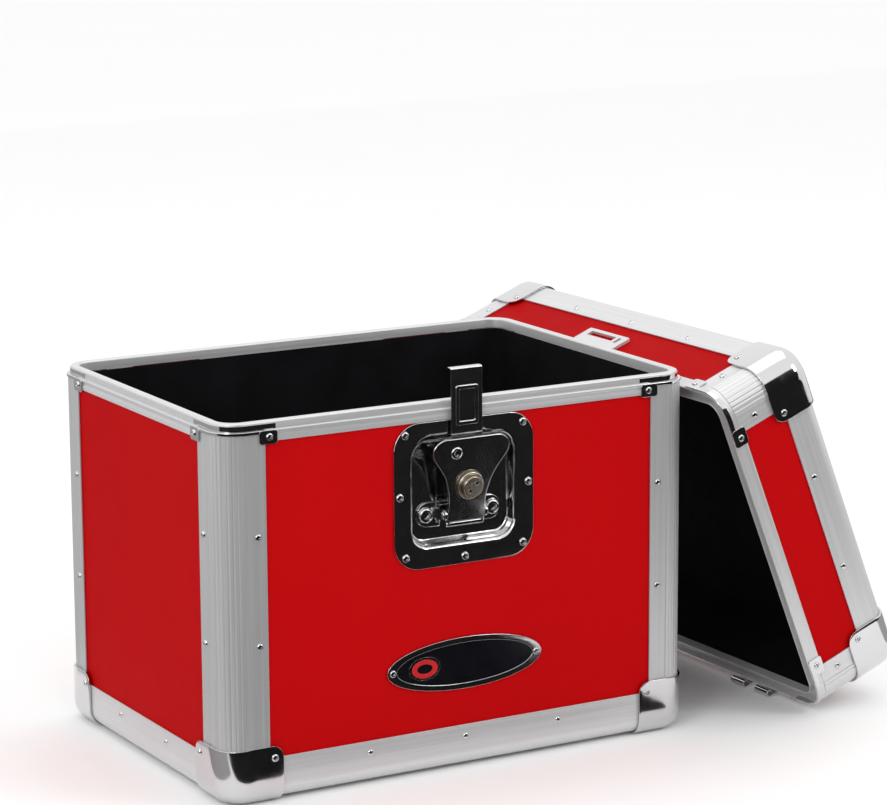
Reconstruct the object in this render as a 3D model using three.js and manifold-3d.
// Hard-shell carrying case for 12-inch records, with a lift-off lid leaning beside it.
// Millimetres, +Z up, the case's front faces -Y and the lid leans on the case's right side.
import * as THREE from 'three';
import { mergeVertices } from 'three/addons/utils/BufferGeometryUtils.js';
import Module from 'manifold-3d';

const wasm = await Module();
wasm.setup();

// ---------------------------------------------------------------- driving dimensions
const WIDTH = 380;
const DEPTH = 270;
const CASE_HEIGHT = 268;
const LID_HEIGHT = 78;
const HALF_W = WIDTH / 2;
const HALF_D = DEPTH / 2;
const GAP = 0.3;

// Wall build-up, from the outside in: extrusion skin, plywood, inner lip, lining.
const SKIN = 1.2;
const PLY = 6;
const INNER_LIP = 0.8;
const LINING = 1.2;
const PANEL_OUT = SKIN + GAP;
const PANEL_IN = PANEL_OUT + PLY;
const LIP_OUT = PANEL_IN + GAP;
const LIP_IN = LIP_OUT + INNER_LIP;
const LINING_OUT = LIP_IN + GAP;
const LINING_IN = LINING_OUT + LINING;

// Aluminium extrusions.
const CORNER_R = 21;
const FLANGE = 34.5;
const INNER_REACH = 10;
const EDGE_R = 12;
const EDGE_FLANGE = 31;
const LID_EDGE_FLANGE = 29;
const COLUMN_START = 14;

// Rims: a tongue on the case, a matching groove in the lid.
const RIM_FLANGE = 13.6;
const SHOULDER = 5.5;
const TONGUE_OUT = 2;
const WEB = 1.8;
const PANEL_TOP = CASE_HEIGHT - SHOULDER - WEB - GAP;
const LID_RIM_FLANGE = 10.8;
const GROOVE_DEPTH = 6.1;
const LID_LIP = 1.5;
const LID_PANEL_START = GROOVE_DEPTH + WEB + GAP;

// Ball corners stand proud of the extrusions and carry the case.
const BALL_WALL = 1.6;
const FOOT = GAP + BALL_WALL;
const BALL_REACH = 44;
const BALL_RISE = 40;
const BALL_TAB_R = 9;

// Latch.
const DISH_Z = 201.7;
const DISH_HALF_W = 56.5;
const DISH_HALF_H = 52.4;
const DISH_R = 20;
const SHEET = 1.2;
const RECESS_HALF_W = 40.5;
const RECESS_Z = 202.5;
const RECESS_HALF_H = 37;
const RECESS_R = 12;
const RECESS_DEPTH = 10.5;
const PIVOT_Z = 185.5;
const PIVOT_SINK = 1;
const PIVOT_R = 1.5;
const PIN_HOLE_R = 1.85;
const LEVER_TILT = THREE.MathUtils.degToRad(9);
const LEVER_WALL = 1.6;
const LEVER_STANDOFF = 2;
const LEVER_TOP = 58;
const CHEEK_X = 13.2;
const CHEEK_WALL = 1.4;
const LUG_X = 15.5;
const LUG_WALL = 1.6;
const CRANK = 6.5;
const ROD_R = 1.1;
const KNUCKLE_R = 2.1;
const LOCK_V = 22.9;
const BARREL_R = 10.2;
const BARREL_BORE = 8;
const PLUG_R = 7.7;
const HOOK_HALF_W = 12.6;
const HOOK_TOP = 291;
const HOOK_PLAY = 0.9;

// Lid hinges, catch and handle.
const HINGE_X = 106.5;
const HINGE_HALF_W = 27;
const HOOK_FROM = 7.5;
const HOOK_TO = 23.5;
const CURL_R = 3.1;
const CURL_SINK = 1.6;
const CURL_DROP = 5.5;
const PIVOT_RISE = 11;
const BAIL_R = 3;
const BAIL_SWING = 36;
const GRIP_R = 9.5;
const EAR_X = 60;

// Where the lid leans.
const LEAN = THREE.MathUtils.degToRad(21.6);
const YAW = THREE.MathUtils.degToRad(1);
const LID_FOOT = 3.8;
const LID_SLIDE_BACK = 28;
const LEAN_CLEARANCE = 1.5;

// ---------------------------------------------------------------- materials
const red = new THREE.MeshStandardMaterial({ color: 0xb70c10, roughness: 0.4, metalness: 0 });
const aluminium = new THREE.MeshStandardMaterial({ color: 0xc8c8ca, roughness: 0.35, metalness: 1 });
const chrome = new THREE.MeshStandardMaterial({ color: 0xd8d8da, roughness: 0.08, metalness: 1 });
const lining = new THREE.MeshStandardMaterial({ color: 0x0b0b0c, roughness: 0.8, metalness: 0 });
const rubber = new THREE.MeshStandardMaterial({ color: 0x161617, roughness: 0.7, metalness: 0 });
const enamel = new THREE.MeshStandardMaterial({ color: 0x0a0a0d, roughness: 0.2, metalness: 0.2 });

// ---------------------------------------------------------------- solids
function toSolid(geometry) {
  const bare = geometry.clone();
  bare.deleteAttribute('normal');
  bare.deleteAttribute('uv');
  const merged = mergeVertices(bare, 1e-4);
  const mesh = new wasm.Mesh({
    numProp: 3,
    vertProperties: new Float32Array(merged.attributes.position.array),
    triVerts: new Uint32Array(merged.index.array),
  });
  return new wasm.Manifold(mesh);
}

function toGeometry(solid) {
  const mesh = solid.getMesh();
  const geometry = new THREE.BufferGeometry();
  geometry.setAttribute('position', new THREE.BufferAttribute(mesh.vertProperties, 3));
  geometry.setIndex(new THREE.BufferAttribute(mesh.triVerts, 1));
  geometry.computeVertexNormals();
  return geometry;
}

function join(...geometries) {
  return toGeometry(geometries.map(toSolid).reduce((whole, next) => whole.add(next)));
}

function cut(geometry, ...tools) {
  return toGeometry(tools.map(toSolid).reduce((whole, tool) => whole.subtract(tool), toSolid(geometry)));
}

function common(...geometries) {
  return toGeometry(geometries.map(toSolid).reduce((whole, next) => whole.intersect(next)));
}

// A box from its lowest to its highest coordinates.
function slab([x0, x1], [y0, y1], [z0, z1]) {
  const box = new THREE.BoxGeometry(x1 - x0, y1 - y0, z1 - z0);
  return box.translate((x0 + x1) / 2, (y0 + y1) / 2, (z0 + z1) / 2);
}

function polygon(points) {
  return new THREE.Shape(points.map(([u, v]) => new THREE.Vector2(u, v)));
}

function roundedRect(halfU, halfV, radius, centreU = 0, centreV = 0) {
  const shape = new THREE.Shape();
  const corners = [[1, 1, 0], [-1, 1, 1], [-1, -1, 2], [1, -1, 3]];
  for (const [su, sv, turn] of corners) {
    const start = turn * Math.PI / 2;
    const u = centreU + su * (halfU - radius);
    const v = centreV + sv * (halfV - radius);
    shape.absarc(u, v, radius, start, start + Math.PI / 2, false);
  }
  shape.closePath();
  return shape;
}

// A frame of the case's plan, between two distances in from its outer faces.
function planRing(insetOut, insetIn) {
  const ring = roundedRect(HALF_W - insetOut, HALF_D - insetOut, CORNER_R - insetOut);
  ring.holes.push(roundedRect(HALF_W - insetIn, HALF_D - insetIn, CORNER_R - insetIn));
  return ring;
}

function extrude(shape, from, to, curveSegments) {
  const geometry = new THREE.ExtrudeGeometry(shape, { depth: to - from, bevelEnabled: false, curveSegments });
  return geometry.translate(0, 0, from);
}

const extrudeZ = (shape, z0, z1, segments = 6) => extrude(shape, z0, z1, segments);

// The outline's first coordinate is Y and its second is Z.
function extrudeX(shape, x0, x1, segments = 6) {
  const basis = new THREE.Matrix4().makeBasis(
    new THREE.Vector3(0, 1, 0), new THREE.Vector3(0, 0, 1), new THREE.Vector3(1, 0, 0));
  return extrude(shape, x0, x1, segments).applyMatrix4(basis);
}

// The outline's first coordinate is X and its second is Z; y0 is the higher Y.
function extrudeY(shape, y0, y1, segments = 6) {
  const basis = new THREE.Matrix4().makeBasis(
    new THREE.Vector3(1, 0, 0), new THREE.Vector3(0, 0, 1), new THREE.Vector3(0, -1, 0));
  return extrude(shape, -y0, -y1, segments).applyMatrix4(basis);
}

function cylinderX(radius, x0, x1, y, z, sides = 16) {
  const cylinder = new THREE.CylinderGeometry(radius, radius, x1 - x0, sides);
  return cylinder.rotateZ(Math.PI / 2).translate((x0 + x1) / 2, y, z);
}

function node(name, geometry, material) {
  const mesh = new THREE.Mesh(geometry, material);
  mesh.name = name;
  return mesh;
}

// ---------------------------------------------------------------- shell pieces
// Channel extrusion: rounded outside, with a slot for a panel's edge in each arm.
function channelOutline(radius, flange, innerRadius) {
  const reach = radius + INNER_REACH;
  const shape = new THREE.Shape();
  shape.moveTo(flange, 0);
  shape.lineTo(flange, SKIN);
  shape.lineTo(radius, SKIN);
  shape.lineTo(radius, LIP_OUT);
  shape.lineTo(reach, LIP_OUT);
  shape.lineTo(reach, LIP_IN);
  if (innerRadius > 0) {
    const centre = LIP_IN + innerRadius;
    shape.lineTo(centre, LIP_IN);
    shape.absarc(centre, centre, innerRadius, -Math.PI / 2, -Math.PI, true);
  } else {
    shape.lineTo(LIP_IN, LIP_IN);
  }
  shape.lineTo(LIP_IN, reach);
  shape.lineTo(LIP_OUT, reach);
  shape.lineTo(LIP_OUT, radius);
  shape.lineTo(SKIN, radius);
  shape.lineTo(SKIN, flange);
  shape.lineTo(0, flange);
  shape.absarc(radius, radius, radius, Math.PI, 1.5 * Math.PI, false);
  shape.closePath();
  return shape;
}

function cornerColumn(z0, z1) {
  return extrudeZ(channelOutline(CORNER_R, FLANGE, CORNER_R - LIP_IN), z0, z1, 7);
}

// Runs along X with its outer face at y = 0 facing -Y and its underside at z = 0.
function edgeChannel(length, flange) {
  return extrudeX(channelOutline(EDGE_R, flange, 0), -length / 2, length / 2, 5);
}

// The block that a ball corner is pressed over, grown outwards by an offset.
function cornerBlock(offset, reach) {
  const bend = EDGE_R + offset;
  const arc = Array.from({ length: 6 }, (_, i) => (i / 5) * Math.PI / 2);
  const profile = [[0, -offset]];
  for (const angle of arc) {
    profile.push([CORNER_R - EDGE_R + bend * Math.sin(angle), EDGE_R - bend * Math.cos(angle)]);
  }
  profile.push([CORNER_R + offset, reach], [0, reach]);
  const post = new THREE.LatheGeometry(profile.map(([r, z]) => new THREE.Vector2(r, z)), 28);
  post.rotateX(Math.PI / 2).translate(CORNER_R, CORNER_R, 0);
  const section = [[reach, -offset], [reach, reach], [-offset, reach]];
  for (const angle of arc) {
    section.push([EDGE_R - bend * Math.cos(angle), EDGE_R - bend * Math.sin(angle)]);
  }
  const alongX = extrudeX(polygon(section), CORNER_R, reach);
  const alongY = extrudeY(polygon(section), reach, CORNER_R);
  const heart = slab([CORNER_R, reach], [CORNER_R, reach], [-offset, reach]);
  return join(post, alongX, alongY, heart);
}

// Three-legged cap over the corner at the origin, open towards +X, +Y and +Z.
function ballCorner() {
  const far = BALL_REACH + 20;
  const shell = cut(cornerBlock(FOOT, far), cornerBlock(GAP, far + 1));
  const low = -FOOT - 1;
  const tabOutline = (toU, toV) => {
    const shape = polygon([[low, low], [toU, low]]);
    shape.lineTo(toU, toV - BALL_TAB_R);
    shape.absarc(toU - BALL_TAB_R, toV - BALL_TAB_R, BALL_TAB_R, 0, Math.PI / 2, false);
    shape.lineTo(low, toV);
    shape.closePath();
    return shape;
  };
  const frontMask = extrudeY(tabOutline(BALL_REACH, BALL_RISE), far, low, 4);
  const sideMask = extrudeX(tabOutline(BALL_REACH, BALL_RISE), low, far, 4);
  const underMask = extrudeZ(tabOutline(BALL_REACH, BALL_REACH), low, far, 4);
  return common(shell, frontMask, sideMask, underMask);
}

// Places a piece made for the corner at the origin, or for the front edge, at each quarter turn.
function placeCorner(mesh, quarter, z = 0) {
  const [sx, sy] = [[-1, -1], [1, -1], [1, 1], [-1, 1]][quarter];
  mesh.position.set(sx * HALF_W, sy * HALF_D, z);
  mesh.rotation.z = quarter * Math.PI / 2;
  return mesh;
}

function placeEdge(mesh, quarter) {
  const distance = quarter % 2 ? HALF_W : HALF_D;
  const angle = quarter * Math.PI / 2;
  mesh.position.set(distance * Math.sin(angle), -distance * Math.cos(angle), 0);
  mesh.rotation.z = angle;
  return mesh;
}

// Turns bottom pieces over, so that they close the top of the lid.
function overturned(...meshes) {
  const group = new THREE.Group();
  group.add(...meshes);
  group.rotation.y = Math.PI;
  group.position.z = LID_HEIGHT;
  return group;
}

const CORNER_NAMES = ['front_left', 'front_right', 'back_right', 'back_left'];
const EDGE_NAMES = ['front', 'right', 'back', 'left'];

function corners(prefix, geometry, material, names = CORNER_NAMES) {
  return names.map((name, quarter) => placeCorner(node(`${prefix}_${name}`, geometry, material), quarter));
}

function edges(prefix, flange, names = EDGE_NAMES) {
  return names.map((name, quarter) => {
    const side = quarter % 2 ? DEPTH : WIDTH;
    const geometry = edgeChannel(side - 2 * (FLANGE + GAP), flange);
    return placeEdge(node(`${prefix}_${name}`, geometry, aluminium), quarter);
  });
}

function wallPanels(z0, z1) {
  const halfFront = HALF_W - CORNER_R - GAP;
  const halfSide = HALF_D - CORNER_R - GAP;
  return {
    front: slab([-halfFront, halfFront], [-HALF_D + PANEL_OUT, -HALF_D + PANEL_IN], [z0, z1]),
    back: slab([-halfFront, halfFront], [HALF_D - PANEL_IN, HALF_D - PANEL_OUT], [z0, z1]),
    left: slab([-HALF_W + PANEL_OUT, -HALF_W + PANEL_IN], [-halfSide, halfSide], [z0, z1]),
    right: slab([HALF_W - PANEL_IN, HALF_W - PANEL_OUT], [-halfSide, halfSide], [z0, z1]),
  };
}

function endBoard(z0, z1) {
  const inset = EDGE_R + GAP;
  return extrudeZ(roundedRect(HALF_W - inset, HALF_D - inset, CORNER_R - inset), z0, z1, 4);
}

// Lining tray: its floor at z0, its open edge at z1.
function liningTray(z0, z1) {
  const outer = roundedRect(HALF_W - LINING_OUT, HALF_D - LINING_OUT, CORNER_R - LINING_OUT);
  const inner = roundedRect(HALF_W - LINING_IN, HALF_D - LINING_IN, CORNER_R - LINING_IN);
  return cut(extrudeZ(outer, z0, z1, 4), extrudeZ(inner, z0 + LINING, z1 + 1, 4));
}

// Four straight strips that follow the walls between the corner columns.
function rimStrips(outline) {
  return EDGE_NAMES.map((_, quarter) => {
    const side = quarter % 2 ? DEPTH : WIDTH;
    const half = side / 2 - FLANGE - GAP;
    const strip = new THREE.Mesh(extrudeX(outline, -half, half));
    placeEdge(strip, quarter).updateMatrix();
    return strip.geometry.applyMatrix4(strip.matrix);
  });
}

// ---------------------------------------------------------------- case
function hingePockets() {
  const top = CASE_HEIGHT - SHOULDER;
  const depth = CURL_SINK + CURL_R + 0.7;
  const drop = CURL_DROP + CURL_R + 2;
  return [-HINGE_X, HINGE_X].map((x) => slab(
    [x - HINGE_HALF_W - 0.5, x + HINGE_HALF_W + 0.5],
    [HALF_D - depth, HALF_D + 1],
    [top - drop, top + 0.1]));
}

function baseRim() {
  const shoulder = CASE_HEIGHT - SHOULDER;
  const webLow = shoulder - WEB;
  const low = CASE_HEIGHT - RIM_FLANGE;
  const overlap = TONGUE_OUT + 1;
  const tongue = extrudeZ(planRing(TONGUE_OUT, LIP_IN), webLow, CASE_HEIGHT, 6);
  const outer = polygon([[0, low], [SKIN, low], [SKIN, webLow], [overlap, webLow], [overlap, shoulder], [0, shoulder]]);
  const inner = polygon([[LIP_OUT, low], [LIP_IN, low], [LIP_IN, webLow + 0.5], [LIP_OUT, webLow + 0.5]]);
  const whole = join(tongue, ...rimStrips(outer), ...rimStrips(inner));
  return cut(whole, ...hingePockets());
}

function frontPanelWithRecess(panel) {
  const half = RECESS_HALF_W + SHEET + GAP;
  const halfHeight = RECESS_HALF_H + SHEET + GAP;
  const hole = roundedRect(half, halfHeight, RECESS_R, 0, RECESS_Z);
  return cut(panel, extrudeY(hole, -HALF_D + PANEL_IN + 1, -HALF_D, 4));
}

function baseLining() {
  const tray = liningTray(LINING_OUT, PANEL_TOP);
  const halfW = RECESS_HALF_W + SHEET + 1;
  const halfH = RECESS_HALF_H + SHEET + 1;
  const window = roundedRect(halfW, halfH, RECESS_R, 0, RECESS_Z);
  return cut(tray, extrudeY(window, -HALF_D + LINING_IN + 1, -HALF_D + LINING_OUT - 1, 4));
}

// Rear half of a slip-off hinge: a plate, three ears and the bar that the lid's hooks take.
function baseHinge() {
  const barZ = CASE_HEIGHT - SHOULDER - CURL_DROP;
  const barY = HALF_D - CURL_SINK;
  const face = HALF_D + GAP;
  const plateTop = barZ - 5;
  const plate = slab([-HINGE_HALF_W, HINGE_HALF_W], [face, face + SHEET], [plateTop - 24, plateTop]);
  const earX = [-HINGE_HALF_W + 1.3, 0, HINGE_HALF_W - 1.3];
  const ears = earX.map((x) => slab([x - 1.3, x + 1.3], [barY - 1.8, face + SHEET], [barZ - 3.8, barZ + 2]));
  const roots = earX.map((x) => slab([x - 1.3, x + 1.3], [face, face + SHEET], [plateTop - 1, barZ]));
  const bar = cylinderX(1.2, -HINGE_HALF_W, HINGE_HALF_W, barY, barZ, 10);
  return join(plate, ...ears, ...roots, bar);
}

function badgePlate() {
  const oval = new THREE.Shape();
  oval.absellipse(0, 76.7, 63, 19, 0, 2 * Math.PI, false, 0);
  return extrudeY(oval, -HALF_D + SKIN, -HALF_D, 20);
}

function buildCase() {
  const group = new THREE.Group();
  const panels = wallPanels(EDGE_R + GAP, PANEL_TOP);
  group.add(node('base_floor', endBoard(PANEL_OUT, PANEL_IN), red));
  group.add(node('base_front_panel', frontPanelWithRecess(panels.front), red));
  group.add(node('base_back_panel', cut(panels.back, ...hingePockets()), red));
  group.add(node('base_left_panel', panels.left, red));
  group.add(node('base_right_panel', panels.right, red));
  group.add(...corners('base_corner', cornerColumn(COLUMN_START, PANEL_TOP), aluminium));
  group.add(...edges('base_edge', EDGE_FLANGE));
  group.add(node('base_rim', baseRim(), aluminium));
  group.add(...corners('base_ball_corner', ballCorner(), chrome));
  group.add(node('base_lining', baseLining(), lining));
  for (const [side, x] of [['left', -HINGE_X], ['right', HINGE_X]]) {
    const hinge = node(`base_hinge_${side}`, baseHinge(), chrome);
    hinge.position.x = x;
    group.add(hinge);
  }
  group.add(node('badge_plate', badgePlate(), enamel));
  group.add(buildLatch());
  return group;
}

// ---------------------------------------------------------------- latch
// Latch pieces are drawn around the pivot: y = 0 is the pivot line, outwards is -Y.
const FACE_Y = PIVOT_SINK;
const FLOOR_Y = RECESS_DEPTH - PIVOT_SINK;

function latchDish() {
  const flange = roundedRect(DISH_HALF_W, DISH_HALF_H, DISH_R, 0, DISH_Z - PIVOT_Z);
  const centre = RECESS_Z - PIVOT_Z;
  const tub = roundedRect(RECESS_HALF_W + SHEET, RECESS_HALF_H + SHEET, RECESS_R + SHEET, 0, centre);
  const hollow = roundedRect(RECESS_HALF_W, RECESS_HALF_H, RECESS_R, 0, centre);
  const plate = extrudeY(flange, -FACE_Y + SHEET, -FACE_Y, 6);
  const pan = extrudeY(tub, FLOOR_Y + SHEET, -FACE_Y + 0.2, 5);
  return cut(join(plate, pan), extrudeY(hollow, FLOOR_Y, -FACE_Y - 1, 5));
}

// Oval foot plate with two lugs that hold the lever's pivots.
function latchBracket() {
  const back = FLOOR_Y - GAP;
  const front = back - 1.5;
  const footHalfH = 9;
  const foot = extrudeY(roundedRect(34, footHalfH, footHalfH - 0.1), back, front, 5);
  const window = slab([-LUG_X + 0.1, LUG_X - 0.1], [front - 1, back + 1], [-footHalfH - 1, 6]);
  const lug = new THREE.Shape();
  const nose = 4;
  lug.moveTo(back, -nose);
  lug.lineTo(back, nose);
  lug.lineTo(0, nose);
  lug.absarc(0, 0, nose, Math.PI / 2, 1.5 * Math.PI, false);
  lug.closePath();
  const lugs = [-LUG_X - LUG_WALL, LUG_X].map((x) => extrudeX(lug, x, x + LUG_WALL, 5));
  const bore = cylinderX(PIN_HOLE_R, -LUG_X - 3, LUG_X + 3, 0, 0, 12);
  return cut(join(cut(foot, window), ...lugs), bore);
}

// Headed stub on each side, from the lug into the lever's cheek.
function latchPivot() {
  const inner = CHEEK_X - 0.2;
  const lugFace = LUG_X + LUG_WALL + GAP;
  return join(cylinderX(PIVOT_R, inner, lugFace + 0.5, 0, 0, 12), cylinderX(2.8, lugFace, lugFace + 1, 0, 0, 14));
}

// The lever lies along +Z from its pivot; the whole lever group is then tilted outwards.
function latchLever() {
  const waist = 16.7;
  const shoulder = 31;
  const foot = CHEEK_X + CHEEK_WALL;
  const outline = new THREE.Shape();
  outline.moveTo(-foot, -4);
  outline.lineTo(foot, -4);
  outline.lineTo(foot, 8);
  outline.quadraticCurveTo(foot, 16, waist, 21);
  outline.bezierCurveTo(waist + 2, 32, shoulder - 5, 38, shoulder - 1, 45);
  outline.quadraticCurveTo(shoulder + 2, 55, shoulder - 9, LEVER_TOP);
  outline.lineTo(-shoulder + 9, LEVER_TOP);
  outline.quadraticCurveTo(-shoulder - 2, 55, -shoulder + 1, 45);
  outline.bezierCurveTo(-shoulder + 5, 38, -waist - 2, 32, -waist, 21);
  outline.quadraticCurveTo(-foot, 16, -foot, 8);
  outline.closePath();
  const front = -LEVER_STANDOFF - LEVER_WALL;
  const plate = extrudeY(outline, -LEVER_STANDOFF, front, 5);
  const rodY = -CRANK * Math.sin(LEVER_TILT);
  const rodZ = -CRANK * Math.cos(LEVER_TILT);
  const nose = KNUCKLE_R + 0.1;
  const cheek = new THREE.Shape();
  cheek.moveTo(front, 10);
  cheek.lineTo(front, rodZ);
  cheek.absarc(rodY, rodZ, nose, Math.PI, 2 * Math.PI, false);
  cheek.lineTo(rodY + nose + 1.6, 3);
  cheek.lineTo(-LEVER_STANDOFF + 0.5, 10);
  cheek.closePath();
  const cheeks = [-CHEEK_X - CHEEK_WALL, CHEEK_X].map((x) => extrudeX(cheek, x, x + CHEEK_WALL, 5));
  const pivotBore = cylinderX(PIN_HOLE_R, -20, 20, 0, 0, 12);
  const rodBore = cylinderX(ROD_R + GAP, -20, 20, rodY, rodZ, 12);
  const lockHole = new THREE.CylinderGeometry(BARREL_R + GAP, BARREL_R + GAP, 12, 24).translate(0, 0, LOCK_V);
  return cut(join(plate, ...cheeks), pivotBore, rodBore, lockHole);
}

// Pin at the lever's foot that carries the hook; its ends are headed outside the cheeks.
function latchRod() {
  const end = CHEEK_X + CHEEK_WALL + GAP;
  const y = -CRANK * Math.sin(LEVER_TILT);
  const z = -CRANK * Math.cos(LEVER_TILT);
  return cylinderX(ROD_R, -end, end, y, z, 12);
}

// A tube between two radii, its axis along Y through the lock's centre.
function lockRing(outer, inner, y0, y1) {
  const ring = new THREE.Shape();
  ring.absarc(0, LOCK_V, outer, 0, 2 * Math.PI, false);
  if (inner > 0) {
    const bore = new THREE.Path();
    bore.absarc(0, LOCK_V, inner, 0, 2 * Math.PI, true);
    ring.holes.push(bore);
  }
  return extrudeY(ring, y0, y1, 12);
}

function lockPlug() {
  const front = -LEVER_STANDOFF - 8.4;
  const core = lockRing(PLUG_R, 0, -0.8, front);
  const stem = lockRing(3, 0, 2.2, -1);
  const cam = slab([-3, 3], [1.1, 2.2], [LOCK_V, LOCK_V + 11]);
  return join(core, stem, cam);
}

// Draw hook: a knuckle on the rod, a cranked strap, and a lip turned in at the top.
function latchHook() {
  const wall = SHEET;
  const strapFront = 0.4;
  const outFront = -FACE_Y - 3.4;
  const top = HOOK_TOP - PIVOT_Z;
  const lipBack = -FACE_Y + PANEL_OUT - 0.2;
  const joggleLow = 222 - PIVOT_Z;
  const joggleHigh = 236 - PIVOT_Z;
  const strap = polygon([
    [strapFront, -CRANK], [strapFront, joggleLow], [outFront, joggleHigh], [outFront, top], [lipBack, top],
    [lipBack, top - wall], [outFront + wall, top - wall], [outFront + wall, joggleHigh],
    [strapFront + wall, joggleLow], [strapFront + wall, -CRANK],
  ]);
  const body = extrudeX(strap, -HOOK_HALF_W, HOOK_HALF_W);
  const knuckle = cylinderX(KNUCKLE_R, -HOOK_HALF_W, HOOK_HALF_W, 0, -CRANK, 14);
  const bore = cylinderX(ROD_R + GAP, -20, 20, 0, -CRANK, 12);
  return cut(join(body, knuckle), bore);
}

function buildLatch() {
  const group = new THREE.Group();
  group.position.set(0, -HALF_D + PIVOT_SINK, PIVOT_Z);
  group.add(node('latch_dish', latchDish(), chrome));
  group.add(node('latch_bracket', latchBracket(), chrome));
  group.add(node('latch_pivot_right', latchPivot(), chrome));
  const mirrored = node('latch_pivot_left', latchPivot(), chrome);
  mirrored.rotation.z = Math.PI;
  group.add(mirrored);
  group.add(node('latch_hook', latchHook(), chrome));
  const lever = new THREE.Group();
  lever.rotation.x = LEVER_TILT;
  lever.add(node('latch_lever', latchLever(), chrome));
  lever.add(node('latch_rod', latchRod(), chrome));
  lever.add(node('lock_barrel', lockRing(BARREL_R, BARREL_BORE, -0.5, -LEVER_STANDOFF - 5), chrome));
  lever.add(node('lock_plug', lockPlug(), chrome));
  group.add(lever);
  return group;
}

// ---------------------------------------------------------------- lid, drawn closed: rim at z = 0
function lidRim() {
  const top = GROOVE_DEPTH + WEB;
  const outerLip = extrudeZ(planRing(0, LID_LIP), 0, top, 6);
  const web = extrudeZ(planRing(SKIN, LINING_OUT + 0.5), GROOVE_DEPTH, top, 6);
  const innerLip = extrudeZ(planRing(LINING_OUT, LINING_OUT + 1), 1, top, 5);
  const strip = polygon([[0, top - 0.5], [SKIN, top - 0.5], [SKIN, LID_RIM_FLANGE], [0, LID_RIM_FLANGE]]);
  return join(outerLip, web, innerLip, ...rimStrips(strip));
}

// Catch plate with the window that the draw hook's lip enters and a small slot beside it.
function lidCatch() {
  const face = -HALF_D - 1.6;
  const caught = HOOK_TOP - SHEET - (CASE_HEIGHT - SHOULDER);
  const low = caught - HOOK_PLAY;
  const high = low + 5.6;
  const plate = slab([-27, 27], [face, -HALF_D + SKIN], [LID_RIM_FLANGE + GAP, high + 3.4]);
  const window = slab([-20.5, 13.5], [face - 1, -HALF_D + 2], [low, high]);
  const slot = slab([17, 20.6], [face - 1, -HALF_D + 2], [low - 1.4, high]);
  return cut(plate, window, slot);
}

// Lid half of a slip-off hinge: a leaf on the rear wall and two J-shaped hooks past the rim.
function lidHinge() {
  const face = HALF_D + GAP;
  const leaf = slab([-HINGE_HALF_W, HINGE_HALF_W], [face, face + SHEET], [2, 28]);
  const centreY = HALF_D - CURL_SINK;
  const inner = CURL_R - SHEET;
  const end = THREE.MathUtils.degToRad(-235);
  const hook = new THREE.Shape();
  hook.moveTo(centreY + CURL_R, 3);
  hook.lineTo(centreY + CURL_R, -CURL_DROP);
  hook.absarc(centreY, -CURL_DROP, CURL_R, 0, end, true);
  hook.lineTo(centreY + inner * Math.cos(end), -CURL_DROP + inner * Math.sin(end));
  hook.absarc(centreY, -CURL_DROP, inner, end, 0, false);
  hook.lineTo(centreY + inner, 3);
  hook.closePath();
  return join(leaf, extrudeX(hook, -HOOK_TO, -HOOK_FROM, 12), extrudeX(hook, HOOK_FROM, HOOK_TO, 12));
}

// Foot plate on the lid's top with one ear that the bail's end turns in.
function handleBracket() {
  const foot = LID_HEIGHT - PANEL_OUT + GAP;
  const pivot = LID_HEIGHT - PANEL_OUT + PIVOT_RISE;
  const plate = extrudeZ(roundedRect(13, 14, 5), foot, foot + 1.6, 4);
  const ear = new THREE.Shape();
  ear.moveTo(-9, foot + 0.5);
  ear.lineTo(9, foot + 0.5);
  ear.lineTo(6.5, pivot);
  ear.absarc(0, pivot, 6.5, 0, Math.PI, false);
  ear.closePath();
  const bore = cylinderX(BAIL_R + 0.35, -5, 5, 0, pivot, 14);
  return cut(join(plate, extrudeX(ear, -1.5, 1.5, 6)), bore);
}

// Steel bail: straight ends in the ears, then down both arms and along the grip.
function handleBail() {
  const pivot = LID_HEIGHT - PANEL_OUT + PIVOT_RISE;
  const end = EAR_X + 5;
  const arm = EAR_X - 12;
  const bend = 8;
  const at = (x, y) => new THREE.Vector3(x, y, pivot);
  const route = new THREE.CurvePath();
  route.add(new THREE.LineCurve3(at(-end, 0), at(-arm - bend, 0)));
  route.add(new THREE.QuadraticBezierCurve3(at(-arm - bend, 0), at(-arm, 0), at(-arm, bend)));
  route.add(new THREE.LineCurve3(at(-arm, bend), at(-arm, BAIL_SWING - bend)));
  route.add(new THREE.QuadraticBezierCurve3(
    at(-arm, BAIL_SWING - bend), at(-arm, BAIL_SWING), at(-arm + bend, BAIL_SWING)));
  route.add(new THREE.LineCurve3(at(-arm + bend, BAIL_SWING), at(arm - bend, BAIL_SWING)));
  route.add(new THREE.QuadraticBezierCurve3(
    at(arm - bend, BAIL_SWING), at(arm, BAIL_SWING), at(arm, BAIL_SWING - bend)));
  route.add(new THREE.LineCurve3(at(arm, BAIL_SWING - bend), at(arm, bend)));
  route.add(new THREE.QuadraticBezierCurve3(at(arm, bend), at(arm, 0), at(arm + bend, 0)));
  route.add(new THREE.LineCurve3(at(arm + bend, 0), at(end, 0)));
  const section = new THREE.Shape();
  section.absarc(0, 0, BAIL_R, 0, 2 * Math.PI, false);
  return new THREE.ExtrudeGeometry(section, { steps: 56, extrudePath: route, curveSegments: 5 });
}

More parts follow.
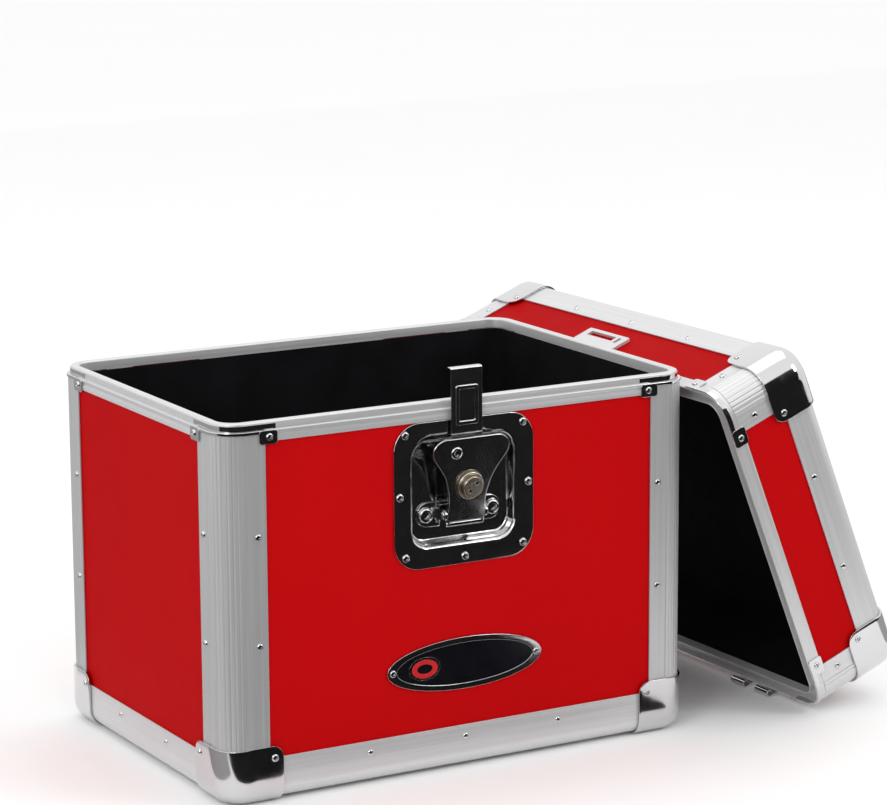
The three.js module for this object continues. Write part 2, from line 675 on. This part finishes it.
function handleGrip() {
  const half = EAR_X - 24;
  const bore = BAIL_R + GAP + 0.1;
  const points = [[bore, -half], [GRIP_R - 2, -half], [GRIP_R, -half + 2], [GRIP_R, half - 2], [GRIP_R - 2, half],
    [bore, half], [bore, -half]];
  const grip = new THREE.LatheGeometry(points.map(([r, x]) => new THREE.Vector2(r, x)), 20);
  return grip.rotateZ(-Math.PI / 2).translate(0, BAIL_SWING, LID_HEIGHT - PANEL_OUT + PIVOT_RISE);
}

function buildLid() {
  const group = new THREE.Group();
  const panels = wallPanels(LID_PANEL_START, LID_HEIGHT - EDGE_R - GAP);
  group.add(node('lid_top', endBoard(LID_HEIGHT - PANEL_IN, LID_HEIGHT - PANEL_OUT), red));
  for (const side of ['front', 'back', 'left', 'right']) {
    group.add(node(`lid_${side}_panel`, panels[side], red));
  }
  group.add(...corners('lid_corner', cornerColumn(LID_PANEL_START, LID_HEIGHT - COLUMN_START), aluminium));
  group.add(node('lid_rim', lidRim(), aluminium));
  const turnedEdges = ['front', 'left', 'back', 'right'];
  const turnedCorners = ['front_right', 'front_left', 'back_left', 'back_right'];
  group.add(overturned(
    ...edges('lid_edge', LID_EDGE_FLANGE, turnedEdges),
    ...corners('lid_ball_corner', ballCorner(), chrome, turnedCorners)));
  group.add(overturned(node('lid_lining', liningTray(LINING_OUT, LID_HEIGHT - LID_PANEL_START), lining)));
  group.add(node('lid_catch_plate', lidCatch(), aluminium));
  for (const [side, x] of [['left', -1], ['right', 1]]) {
    const hinge = node(`lid_hinge_${side}`, lidHinge(), chrome);
    hinge.position.x = x * HINGE_X;
    const bracket = node(`handle_bracket_${side}`, handleBracket(), chrome);
    bracket.position.x = x * EAR_X;
    group.add(hinge, bracket);
  }
  group.add(node('handle_bail', handleBail(), chrome));
  group.add(node('handle_grip', handleGrip(), rubber));
  return group;
}

// Stands the lid on its rear wall with its right end forwards, leaning left on the case's side.
function leanLid(lid) {
  const onItsBack = new THREE.Group();
  const turned = new THREE.Matrix4().makeBasis(
    new THREE.Vector3(0, -1, 0), new THREE.Vector3(0, 0, -1), new THREE.Vector3(1, 0, 0));
  onItsBack.quaternion.setFromRotationMatrix(turned);
  onItsBack.position.z = HALF_D;
  onItsBack.add(lid);
  const leaning = new THREE.Group();
  leaning.rotation.y = -LEAN;
  leaning.add(onItsBack);
  const stand = new THREE.Group();
  stand.rotation.z = YAW;
  stand.position.set(HALF_W + LEAN_CLEARANCE + DEPTH * Math.sin(LEAN), LID_SLIDE_BACK, LID_FOOT);
  stand.add(leaning);
  return stand;
}

// ---------------------------------------------------------------- whole part
const shell = buildCase();
shell.position.z = FOOT;
const part = new THREE.Group();
part.add(shell, leanLid(buildLid()));

// The origin is the bottom centre of everything.
part.updateMatrixWorld(true);
const bounds = new THREE.Box3().setFromObject(part, true);
const centre = bounds.getCenter(new THREE.Vector3());
part.position.set(-centre.x, -centre.y, -bounds.min.z);

export default part;
